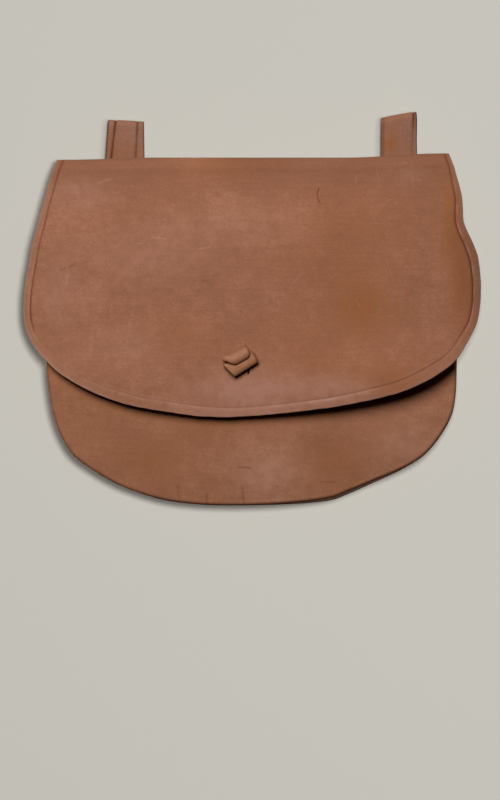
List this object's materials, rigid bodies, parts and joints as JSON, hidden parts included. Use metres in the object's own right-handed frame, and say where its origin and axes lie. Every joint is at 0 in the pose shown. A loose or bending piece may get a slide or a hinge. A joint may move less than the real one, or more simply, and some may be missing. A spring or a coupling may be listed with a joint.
{
  "type": "belt bag",
  "caption": "Flat leather belt bag with a rounded body, a wide flap folded over the top, a rolled-leather toggle and belt loops behind the fold. Carried on a waist belt.",
  "frame": {"origin": "on the ground under the middle of the bag's box, with the bag lying on its back", "axes": "+X to the bag's right as seen from the front, +Y up the bag towards the fold and the belt loops, +Z from the back to the front"},
  "size_m": [0.2614, 0.2242, 0.0476],
  "materials": {
    "flap_leather": "matte oiled nubuck, lightly scratched",
    "front_leather": "matte oiled nubuck",
    "gusset_leather": "matte oiled nubuck",
    "loop_leather": "matte oiled nubuck, creased along the edges",
    "toggle_leather": "matte oiled nubuck, rubbed"
  },
  "bodies": {
    "root": {"back_and_flap": "flap_leather", "front_panel": "front_leather", "gusset": "gusset_leather", "belt_loop_left": "loop_leather", "belt_loop_right": "loop_leather", "toggle": "toggle_leather"}
  },
  "joints": []
}
